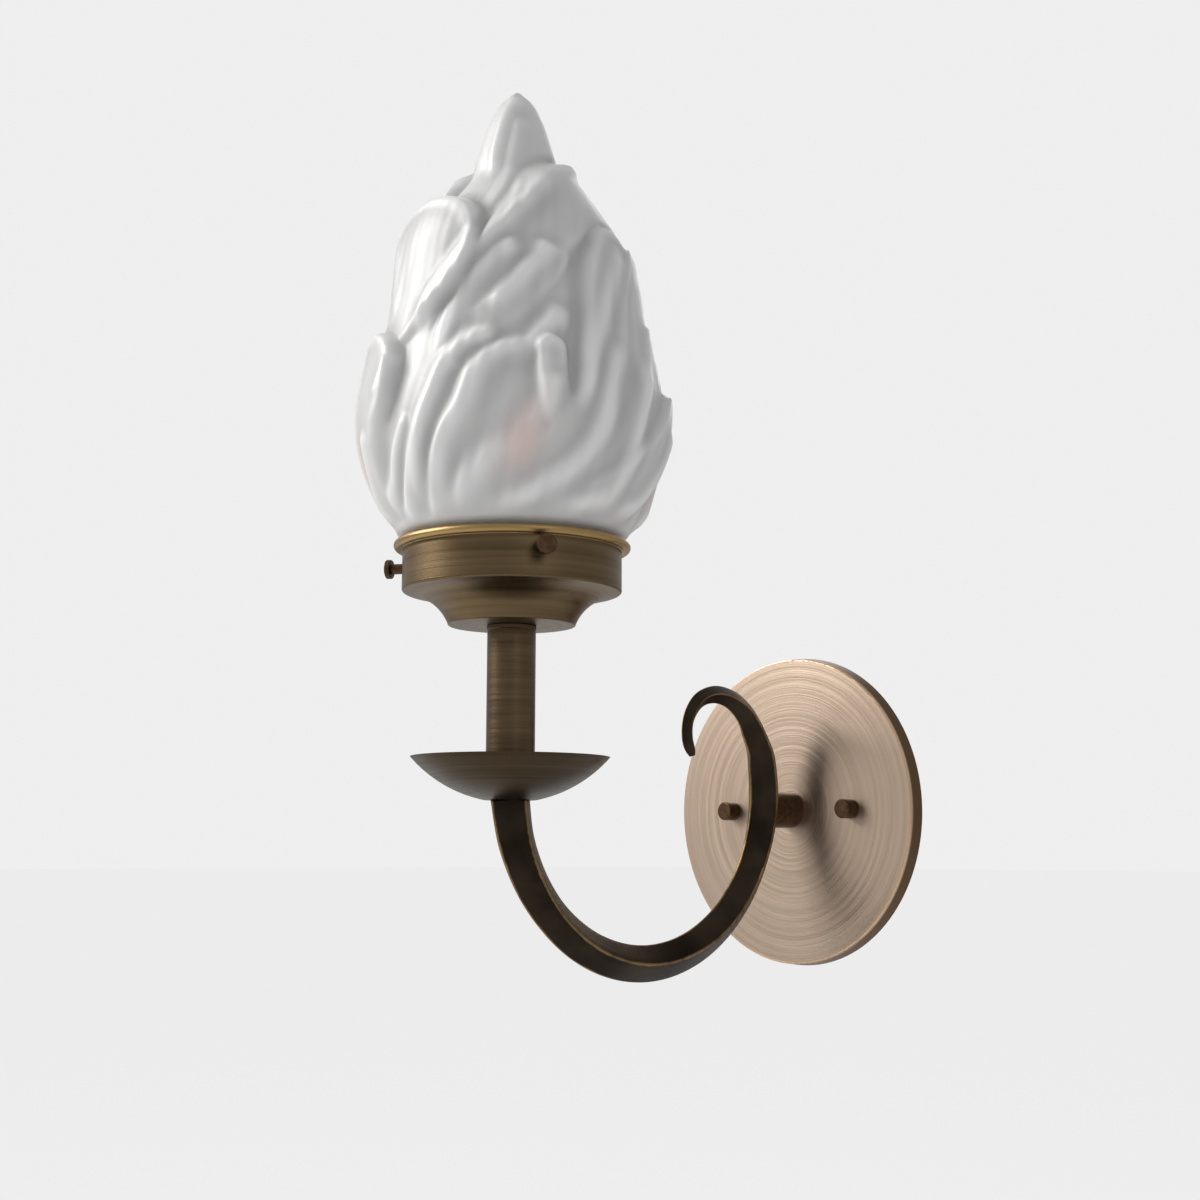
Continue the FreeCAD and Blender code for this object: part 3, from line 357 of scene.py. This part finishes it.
def nearLine(line, angle, height, radius):
    # distance, side (positive is left) and share of the line's length, on the unrolled flame
    distance = np.full(height.shape, 1e3)
    side = np.zeros(height.shape)
    share = np.zeros(height.shape)
    steps = len(line) - 1
    for k in range(steps):
        across = np.radians((angle - line[k][0] + 180.0) % 360.0 - 180.0) * radius
        rise = height - line[k][1]
        runAcross = math.radians(line[k + 1][0] - line[k][0]) * radius
        runUp = line[k + 1][1] - line[k][1]
        t = np.clip((across * runAcross + rise * runUp) / (runAcross ** 2 + runUp ** 2), 0.0, 1.0)
        gapAcross, gapUp = across - t * runAcross, rise - t * runUp
        gap = np.hypot(gapAcross, gapUp)
        nearer = gap < distance
        distance = np.where(nearer, gap, distance)
        lean = (runAcross * gapUp - runUp * gapAcross) / np.hypot(runAcross, runUp)
        side = np.where(nearer, lean, side)
        share = np.where(nearer, (k + t) / steps, share)
    return distance, side, share


def flameRadius(angle, height, shape):
    # radius of the outside, how far its edges stand out, and how far its tongues do
    base = valleyRadius(height, shape["valley"])
    stand = np.zeros(height.shape)
    crest = np.zeros(height.shape)
    for points, halfWidth, root, tip, late, rim, leftRun, rightRun, again in flameTongues.values():
        line = softLine(points)
        for turn in {0, again}:
            distance, side, share = nearLine(line + (turn, 0), angle, height, base)
            lean = np.clip(side / np.maximum(distance, 0.5) / 3.0, -1.0, 1.0) * 0.5 + 0.5
            tipness = smoothStep((share - 0.8) * 5.0)
            edge = (leftRun * lean + rightRun * (1.0 - lean)) * (1.0 - tipness) + 3.0 * tipness
            climbed = np.clip((height - points[0][1]) / (points[-1][1] + halfWidth - points[0][1]), 0.0, 1.0)
            lift = root + (tip - root) * climbed ** late
            body = smoothStep((halfWidth - distance) / edge + 0.5)
            roll = shape["rimShare"] * rim * np.exp(-((halfWidth - 2.6 - distance) / 2.4) ** 2)
            roll *= np.maximum(lean, tipness)
            stand += ((lift * body + roll) * smoothStep(share * 6.0 + 0.15)) ** 4
    for points, high, left, right, again in flameCrests.values():
        line = softLine(points)
        for turn in {0, again}:
            distance, side, share = nearLine(line + (turn, 0), angle, height, base)
            width = np.where(side > 0, left, right)
            fade = smoothStep(np.minimum(share * 5.0 + 0.15, (1.0 - share) * 7.0 + 0.1))
            bulge = np.exp(-(distance / (width * shape["crestWidth"])) ** 2)
            crest += (shape["crestShare"] * high * fade * bulge) ** 3
    crest = np.cbrt(crest)
    # fine strands that run up the folds and fade out on the spire
    sway = 2.2 * np.sin(np.radians(3 * angle) + height * 0.045)
    strands = np.cos(np.radians(34 * angle) - height * 0.16 + sway)
    strands += np.cos(np.radians(57 * angle) - height * 0.24 - sway)
    strands *= shape["strands"] * (0.25 + np.minimum(crest, 3.0) / 3.0) * smoothStep((base - 16.0) / 24.0)
    grown = smoothStep((height - shape["base"]) / shape["neckRun"])
    folds = stand ** 0.25
    return base + (folds + crest + strands) * grown, (0.5 * folds + crest + strands) * grown, folds


def spread(grid, reach):
    # running mean over a square of the grid, round the flame without a seam
    total = np.zeros(grid.shape)
    for k in range(-reach, reach + 1):
        total += np.roll(grid, k, axis=1)
    padded = np.vstack([total[:1]] * reach + [total] + [total[-1:]] * reach)
    rows = sum(padded[k:k + len(grid)] for k in range(2 * reach + 1))
    return rows / (2 * reach + 1) ** 2


def buildFlame(shape, finish):
    columns = shape["columns"]
    angle = np.arange(columns) * 360.0 / columns
    heights = shape["top"] - (shape["top"] - shape["base"]) * np.arange(shape["rows"] + 1) / shape["rows"]
    angles, levels = np.meshgrid(angle, heights)
    outside, thick, folds = flameRadius(angles, levels, shape)
    # milky along the rolled edges, with a painted highlight on their crests, greyer where a tongue is blown
    # thin
    ridge = np.tanh((spread(thick, 1) - spread(thick, 6)) / shape["edgeLift"]) - shape["thinGrey"] * folds

    # rings from the tip down the outside, round the neck's lip and up the inside
    inner = [(valleyRadius(np.array([z]), shape["valley"])[0] - shape["wall"], z)
             for z in np.linspace(*shape["hollow"])]
    rings = [(outside[row], heights[row], ridge[row]) for row in range(len(heights))]
    smooth = shape["neck"] + inner + shape["hollowTop"]
    rings += [(np.full(columns, r), z, np.zeros(columns)) for r, z in smooth]

    turn = np.radians(angle)
    points = np.concatenate([
        np.stack([r * np.sin(turn), -torchReach * 1000 - r * np.cos(turn), np.full(columns, z)], 1)
        for r, z, _ in rings]) / 1000
    tips = [(0.0, -torchReach, (shape["top"] + 0.25) / 1000), (0.0, -torchReach, 0.2771)]
    first, last = len(points), len(points) + 1
    faces = []
    for row in range(len(rings) - 1):
        for column in range(columns):
            after = (column + 1) % columns
            a, b = row * columns, (row + 1) * columns
            faces.append((a + column, b + column, b + after, a + after))
    for column in range(columns):
        after = (column + 1) % columns
        faces.append((column, after, first))
        bottom = (len(rings) - 1) * columns
        faces.append((bottom + after, bottom + column, last))
    piece = newPiece("flameGlass", [tuple(p) for p in points] + tips, faces,
                     "shade", finish, ["flame_shade"])
    marks = piece.data.attributes.new("ridge", "FLOAT", "POINT")
    marks.data.foreach_set("value", np.concatenate([ring[2] for ring in rings] + [[0.5, 0.0]]))
    glow = np.zeros(outside.shape)
    for light in shape["lights"]:  # where the lamp's sticks shine through the glass
        across = np.radians((angles - light + 180.0) % 360.0 - 180.0) * 50.0
        glow += np.exp(-(across / 7.0) ** 2 - ((levels - shape["lightHeight"] - across * 0.6) / 11.0) ** 2)
    marks = piece.data.attributes.new("glow", "FLOAT", "POINT")
    marks.data.foreach_set("value", np.concatenate([glow.ravel(), np.zeros(len(points) + 2 - glow.size)]))
    return piece


def frostedGlass():
    # acid-frosted glass: grey where it is flat, milky white along the rolled edges where it is thick, that
    # white also a painted highlight
    finish, place, plug = newFinish("frostedGlass", IOR=1.45, Transmission_Weight=0.2,
                                    Coat_Weight=0.35, Coat_Roughness=0.32)
    ridge = place.make("ShaderNodeAttribute", {"attribute_name": "ridge"}, None, 2)
    frost = place.noise(420.0, 3.0)
    cloud = place.noise(26.0, 2.0)
    # painted highlight: the ridge mask lifts the base colour to white along the crests, together with the
    # milkier thick glass
    milkAndHighlight = (ridge * 0.80 + 0.38 + cloud * 0.24).clipped()
    white = milkAndHighlight.ramp((0.0, (0.54, 0.54, 0.54)), (0.40, (0.72, 0.72, 0.72)),
                      (0.75, (0.88, 0.88, 0.88)), (1.0, (0.98, 0.98, 0.98)))
    glow = place.make("ShaderNodeAttribute", {"attribute_name": "glow"}, None, 2)
    plug(Base_Color=(glow * 0.55).blend(white, (0.86, 0.56, 0.48)))
    plug(Roughness=(0.42 - ridge * 0.12 + frost * 0.06).clipped())
    plug(Normal=bump(frost, 0.25, 0.0002))
    return finish


buildFlame(flameShape, frostedGlass())
print("flame glass built")

# scroll arm
# metres: distance from the wall and height of the bar's middle line
armShape = {
    "circleRadius": 0.0725,
    "circleHeight": 0.0085,
    "top": 0.0008,
    "overlap": 0.003,
    "endAngle": 371.0,
    "curl": [(0.0290, 0.0312), (0.0350, 0.0406), (0.0436, 0.0468), (0.0542, 0.0489), (0.0642, 0.0458),
             (0.0704, 0.0380), (0.0714, 0.0292), (0.0684, 0.0220)],
    # share of the length, half the bar's width from corner to corner in millimetres
    "sizes": [(0.0, 10.0), (0.08, 9.0), (0.17, 7.95), (0.34, 7.85), (0.52, 7.9), (0.62, 8.4), (0.69, 8.9),
              (0.74, 8.5), (0.785, 7.2), (0.82, 5.7), (0.86, 4.4), (0.90, 3.7), (0.94, 3.4), (0.985, 3.3),
              (0.994, 2.7), (1.0, 1.7)],
    "edgeRound": 0.11,
    "steps": 260,
    "hammer": 0.00007,
    "torchSide": -0.15,  # beyond it lies the end under the dish
}


def armTool(finish, shape):
    # Geometry Nodes: a square bar on its corner along a curve, its size from the curve's radius
    tree = bpy.data.node_groups.new("forgedBar", "GeometryNodeTree")
    tree.interface.new_socket("Line", in_out="INPUT", socket_type="NodeSocketGeometry")
    sizes = [("Steps", "NodeSocketInt", shape["steps"]),
             ("Edge Round", "NodeSocketFloat", shape["edgeRound"]),
             ("Hammer", "NodeSocketFloat", shape["hammer"])]
    for name, kind, value in sizes:
        tree.interface.new_socket(name, in_out="INPUT", socket_type=kind).default_value = value
    tree.interface.new_socket("Bar", in_out="OUTPUT", socket_type="NodeSocketGeometry")
    start = Strand(tree)
    entry = start.make("NodeGroupInput").socket.node
    line, steps, edgeRound, hammer = (Strand(tree, entry.outputs[k]) for k in range(4))
    line = start.make("GeometryNodeResampleCurve", None, {"Curve": line, "Count": steps})
    side = math.sqrt(2)
    square = start.make("GeometryNodeCurvePrimitiveQuadrilateral", None, {"Width": side, "Height": side})
    square = start.make("GeometryNodeFilletCurve", {"mode": "POLY"},
                        {"Curve": square, "Count": 5, "Radius": edgeRound})
    square = start.make("GeometryNodeSubdivideCurve", None, {"Curve": square, "Cuts": 2})
    quarter = (0, 0, math.radians(45))
    square = start.make("GeometryNodeTransform", None, {"Geometry": square, "Rotation": quarter})
    place = start.make("GeometryNodeInputPosition")
    outness = start.make("ShaderNodeVectorMath", {"operation": "LENGTH"}, {0: place}, 1)
    square = start.make("GeometryNodeStoreNamedAttribute", {"data_type": "FLOAT", "domain": "POINT"},
                        {"Geometry": square, "Name": "corner", "Value": outness})
    size = start.make("GeometryNodeInputRadius")
    bar = start.make("GeometryNodeCurveToMesh", None,
                     {"Curve": line, "Profile Curve": square, "Fill Caps": True, "Scale": size})
    dents = place.noise(90.0, 2.0) - 0.5
    normal = start.make("GeometryNodeInputNormal")
    push = start.make("ShaderNodeVectorMath", {"operation": "SCALE"}, {0: normal, "Scale": dents * hammer})
    bar = start.make("GeometryNodeSetPosition", None, {"Geometry": bar, "Offset": push})
    bar = start.make("GeometryNodeSetShadeSmooth", None, {"Geometry": bar, "Shade Smooth": True})
    bar = start.make("GeometryNodeRealizeInstances", None, {"Geometry": bar})
    bar = start.make("GeometryNodeSetMaterial", None, {"Geometry": bar, "Material": finish})
    start.make("NodeGroupOutput", None, {0: bar})
    return tree


def runTool(name, source, tree):
    # run the tool on the source object and keep its result as a plain mesh
    modifier = source.modifiers.new("tool", "NODES")
    modifier.node_group = tree
    bpy.context.view_layer.update()
    ready = source.evaluated_get(bpy.context.evaluated_depsgraph_get())
    mesh = bpy.data.meshes.new_from_object(ready)
    mesh.name = name
    source.modifiers.remove(modifier)
    bpy.data.objects.remove(source)
    piece = bpy.data.objects.new(name, mesh)
    bpy.context.scene.collection.objects.link(piece)
    return piece


def armLine(shape):
    # the big curve round its circle, then the curl, as one smooth line
    drop = shape["circleHeight"] - shape["top"]
    circleReach = torchReach - math.sqrt(shape["circleRadius"] ** 2 - drop ** 2)
    startAngle = 180.0 + math.degrees(math.asin((drop - shape["overlap"]) / shape["circleRadius"]))
    points = []
    for k in range(13):
        angle = math.radians(startAngle + (shape["endAngle"] - startAngle) * k / 12)
        points.append((-circleReach + shape["circleRadius"] * math.cos(angle),
                       shape["circleHeight"] + shape["circleRadius"] * math.sin(angle)))
    points += [(-reach, height) for reach, height in shape["curl"]]
    line = softLine(points, 12)
    run = np.concatenate([[0.0], np.cumsum(np.hypot(*np.diff(line, axis=0).T))])
    shares, sizes = np.array(shape["sizes"]).T
    halfSizes = np.interp(run / run[-1], shares, sizes) / 1000
    data = bpy.data.curves.new("armLine", "CURVE")
    data.dimensions = "3D"
    spline = data.splines.new("POLY")
    spline.points.add(len(line) - 1)
    for point, (y, z), half in zip(spline.points, line, halfSizes):
        point.co = (0.0, y, z, 1.0)
        point.radius = half
    source = bpy.data.objects.new("armLine", data)
    bpy.context.scene.collection.objects.link(source)
    return source


def armBronze():
    # near-black bronze, rubbed back to gold along the bar's corners, the gold there also a painted highlight
    finish, place, plug = newFinish("armBronze", Metallic=1.0)
    corner = place.make("ShaderNodeAttribute", {"attribute_name": "corner"}, None, 2)
    rub = place.noise(60.0, 4.0, 0.65)
    grain = place.noise(900.0, 2.0)
    cornerWearAndHighlight = (corner + (rub - 0.5) * 0.12).stepUp(0.915, 0.965)
    cloud = place.noise(35.0, 3.0).stepUp(0.35, 0.75)
    dark = cloud.blend((0.018, 0.013, 0.009), (0.05, 0.037, 0.026))
    # gold along the corners: rubbed wear and a painted highlight
    plug(Base_Color=cornerWearAndHighlight.blend(dark, (0.27, 0.17, 0.075)))
    plug(Roughness=(0.42 + grain * 0.12 - cornerWearAndHighlight * 0.10).clipped())
    plug(Normal=bump(grain * 0.4 + rub, 0.25, 0.0003))
    return finish


def cutFlat(piece, shape):
    # take away what stands above the bar's flat top and close the cut
    mesh = bmesh.new()
    mesh.from_mesh(piece.data)
    bmesh.ops.remove_doubles(mesh, verts=mesh.verts, dist=1e-6)
    near = [v for v in mesh.verts if v.co.y < shape["torchSide"]]
    picked = near + list({e for v in near for e in v.link_edges})
    picked += list({f for v in near for f in v.link_faces})
    cut = bmesh.ops.bisect_plane(mesh, geom=picked, plane_co=(0, 0, shape["top"]), plane_no=(0, 0, 1),
                                 clear_outer=True)
    rim = [item for item in cut["geom_cut"] if isinstance(item, bmesh.types.BMEdge)]
    bmesh.ops.contextual_create(mesh, geom=rim)
    bmesh.ops.recalc_face_normals(mesh, faces=mesh.faces)
    print("bar cut at its top, open edges:", sum(len(edge.link_faces) != 2 for edge in mesh.edges))
    mesh.to_mesh(piece.data)
    mesh.free()


bar = runTool("scrollBar", armLine(armShape), armTool(armBronze(), armShape))
cutFlat(bar, armShape)
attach(bar, "fixture")
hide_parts("scroll_arm")
print("scroll arm built:", len(bar.data.polygons), "faces")


# finishes of the turned metal
def brushed(place, middle, axis, along, fine, coarse):
    # turning lines round an axis through middle: two noises drawn out round the piece, each -0.5 to 0.5
    x, y, z = place.parts()
    offsets = {"x": x - middle[0], "y": y - middle[1], "z": z - middle[2]}
    u, v = (offsets[name] for name in "xyz" if name != axis)
    radius = (u * u + v * v) ** 0.5
    run = offsets[axis] * along[0] + radius * along[1]
    safe = radius + 1e-5
    lines = place.joined(u / safe * 0.4, v / safe * 0.4, run * fine).noise(1.0, 4.0, 0.65) - 0.5
    bands = place.joined(u / safe * 0.15, v / safe * 0.15, run * coarse).noise(1.0, 2.0) - 0.5
    return lines, bands, radius, offsets[axis]


torchMiddle = (0.0, -torchReach, 0.0)


def plateBronze(tones):
    finish, place, plug = newFinish("plateBronze", Metallic=1.0)
    lines, bands, radius, out = brushed(place, (0, 0, 0), "y", (0.0, 1.0), 1500.0, 380.0)
    edge = radius.stepUp(0.0655, 0.0674)
    rim = (0.0 - out).stepUp(0.0048, 0.0061)
    tone = (0.5 + lines * 0.8 + bands * 0.9).clipped()
    face = tone.blend(tones["dark"], tones["pale"])
    face = (edge * 0.6).blend(face, tones["edge"])
    plug(Base_Color=rim.blend(tones["rim"], face))
    plug(Roughness=(0.36 + lines * 0.25 + (1.0 - rim) * 0.1).clipped())
    plug(Normal=bump(lines * 0.8 + bands * 0.5, 0.35, 0.00025))
    return finish


def turnedBrass(name, tones, highlight=None):
    # antique brass with lines round the torch; highlight is a height band coloured in a brighter tone
    finish, place, plug = newFinish(name, Metallic=1.0)
    lines, bands, radius, height = brushed(place, torchMiddle, "z", (1.0, 0.6), 1100.0, 260.0)
    tone = (0.5 + lines * 0.7 + bands * 0.9).clipped()
    colour = tone.blend(tones["dark"], tones["pale"])
    if highlight:
        low, high = highlight
        band = height.stepUp(low, low + 0.0004) * (1.0 - height.stepUp(high - 0.0004, high))
        colour = (band * 0.85).blend(colour, tones["bright"])
    plug(Base_Color=colour)
    plug(Roughness=(0.38 + lines * 0.3).clipped())
    plug(Normal=bump(lines, 0.3, 0.0002))
    return finish


def knobBronze():
    finish, place, plug = newFinish("knobBronze", Metallic=1.0)
    rub = place.noise(500.0, 3.0)
    grain = place.noise(1800.0, 2.0)
    tone = (rub * 1.4 - 0.2).clipped()
    plug(Base_Color=tone.blend((0.035, 0.02, 0.012), (0.13, 0.075, 0.042)))
    plug(Roughness=(0.36 + grain * 0.16).clipped())
    plug(Normal=bump(grain, 0.2, 0.0001))
    return finish


def plainFinish(name, first, second, scale, rough, metallic=0.0, grainDepth=0.15, **constants):
    # two close tones over a fine grain
    finish, place, plug = newFinish(name, Metallic=metallic, **constants)
    cloud = place.noise(scale, 3.0).stepUp(0.3, 0.7)
    grain = place.noise(scale * 14.0, 2.0)
    plug(Base_Color=cloud.blend(first, second))
    plug(Roughness=(rough + (grain - 0.5) * 0.12).clipped())
    plug(Normal=bump(grain, grainDepth, 0.0001))
    return finish


finishes = {
    "plate": plateBronze({"dark": (0.42, 0.31, 0.23), "pale": (0.66, 0.52, 0.41),
                          "edge": (0.62, 0.42, 0.27), "rim": (0.13, 0.08, 0.045)}),
    "gallery": turnedBrass("galleryBrass", {"dark": (0.065, 0.042, 0.020), "pale": (0.22, 0.155, 0.085),
                                            "bright": (0.42, 0.28, 0.12)}, (0.0977, 0.1016)),
    "stem": turnedBrass("stemBrass", {"dark": (0.05, 0.034, 0.018), "pale": (0.19, 0.132, 0.077)}),
    "dish": turnedBrass("dishBrass", {"dark": (0.022, 0.015, 0.008), "pale": (0.085, 0.058, 0.033)}),
    "knob": knobBronze(),
    "zinc": plainFinish("zincPlate", (0.55, 0.56, 0.56), (0.66, 0.66, 0.64), 80.0, 0.35, 1.0),
    "ground": plainFinish("greenScrew", (0.03, 0.26, 0.09), (0.05, 0.36, 0.13), 300.0, 0.4, 0.6),
    "porcelain": plainFinish("glazedPorcelain", (0.84, 0.83, 0.79), (0.90, 0.89, 0.86), 30.0, 0.16,
                             grainDepth=0.03, Coat_Weight=0.4, Coat_Roughness=0.05),
    "brass": plainFinish("bareBrass", (0.66, 0.49, 0.22), (0.75, 0.58, 0.29), 120.0, 0.3, 1.0),
    "nickel": plainFinish("nickelCap", (0.66, 0.65, 0.62), (0.75, 0.74, 0.72), 160.0, 0.28, 1.0),
    "blackGlass": plainFinish("blackGlass", (0.015, 0.015, 0.017), (0.03, 0.03, 0.032), 200.0, 0.1),
    "clearGlass": plainFinish("clearGlass", (0.95, 0.96, 0.96), (0.99, 0.99, 0.99), 40.0, 0.06,
                              grainDepth=0.02, Transmission_Weight=1.0, IOR=1.06),
    "phosphor": plainFinish("phosphorCoat", (0.90, 0.55, 0.20), (0.98, 0.68, 0.28), 400.0, 0.5),
}
wears = {
    "plate": ["wall_plate"],
    "gallery": ["gallery"],
    "stem": ["stem_tube", "stem_collar"],
    "dish": ["drip_dish"],
    "knob": ["knob_left", "knob_right", "arm_post",
             "thumb_screw_front", "thumb_screw_left", "thumb_screw_back"],
    "zinc": ["mounting_ring", "plate_studs", "post_nipple", "post_washer", "post_nut", "stem_rod",
             "gallery_washer", "gallery_nut", "socket_hickey", "socket_screws"],
    "ground": ["ground_screw"],
    "porcelain": ["socket_body"],
    "brass": ["socket_shell", "socket_contact"],
    "nickel": ["lamp_cap", "lamp_contact", "lamp_wires"],
    "blackGlass": ["lamp_insulator"],
    "clearGlass": ["lamp_glass", "lamp_stem"],
    "phosphor": ["lamp_filaments"],
}
for key, names in wears.items():
    for name in names:
        piece = nodes[name]
        if not piece.material_slots:
            piece.data.materials.append(finishes[key])
        for place in piece.material_slots:
            place.material = finishes[key]
print("finishes given to", sum(len(names) for names in wears.values()), "nodes")
